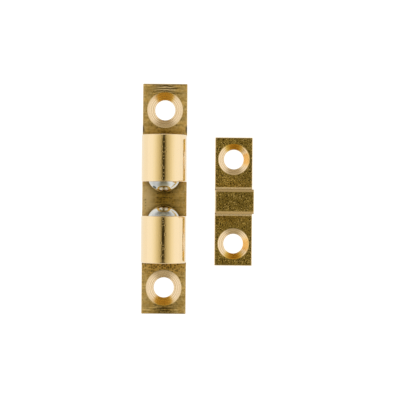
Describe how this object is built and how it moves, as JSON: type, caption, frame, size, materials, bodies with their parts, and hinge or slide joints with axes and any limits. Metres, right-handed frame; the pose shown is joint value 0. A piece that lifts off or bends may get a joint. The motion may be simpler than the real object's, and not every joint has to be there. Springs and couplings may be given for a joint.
{
  "type": "double ball catch",
  "caption": "Brass double ball catch: a screwed body whose sprung steel balls grip the waisted tongue of a separate strike to hold a cabinet door shut.",
  "frame": {"origin": "centre of the catch body's back face, midway between its screw holes", "axes": "+Z out of the back face towards the top of the barrels; +Y along the barrels, from front to rear; +X from the catch body towards the strike lying beside it"},
  "size_m": [0.0206, 0.043, 0.0096],
  "materials": {
    "body_brass": "milled tabs and floor, polished barrels, turned countersinks",
    "strike_brass": "tumbled and lightly tarnished, turned countersinks",
    "adjuster_brass": "turned, with a fine thread",
    "ball_chrome": "polished",
    "spring_steel": "drawn wire"
  },
  "bodies": {
    "catch": {"catch_body": "body_brass", "rear_spring": "spring_steel", "front_spring": "spring_steel", "strike": "strike_brass"},
    "rear_ball": {"rear_ball": "ball_chrome"},
    "front_ball": {"front_ball": "ball_chrome"},
    "rear_adjuster": {"rear_adjuster": "adjuster_brass"},
    "front_adjuster": {"front_adjuster": "adjuster_brass"}
  },
  "joints": [
    {"name": "rear_ball_slide", "type": "slide", "parent": "catch", "child": "rear_ball", "axis": [0, 1, 0], "range_m": [0, 0.0011], "stiffness_N_per_m": 1700, "springref_m": -0.0008, "deforming": ["rear_spring"]},
    {"name": "front_ball_slide", "type": "slide", "parent": "catch", "child": "front_ball", "axis": [0, -1, 0], "range_m": [0, 0.0011], "stiffness_N_per_m": 1700, "springref_m": -0.0008, "deforming": ["front_spring"]},
    {"name": "rear_adjuster_turn", "type": "hinge", "parent": "catch", "child": "rear_adjuster", "pos_m": [0, 0.01065, 0.00545], "axis": [0, -1, 0], "range_deg": [-140, 360]},
    {"name": "front_adjuster_turn", "type": "hinge", "parent": "catch", "child": "front_adjuster", "pos_m": [0, -0.01065, 0.00545], "axis": [0, 1, 0], "range_deg": [-140, 360]}
  ]
}
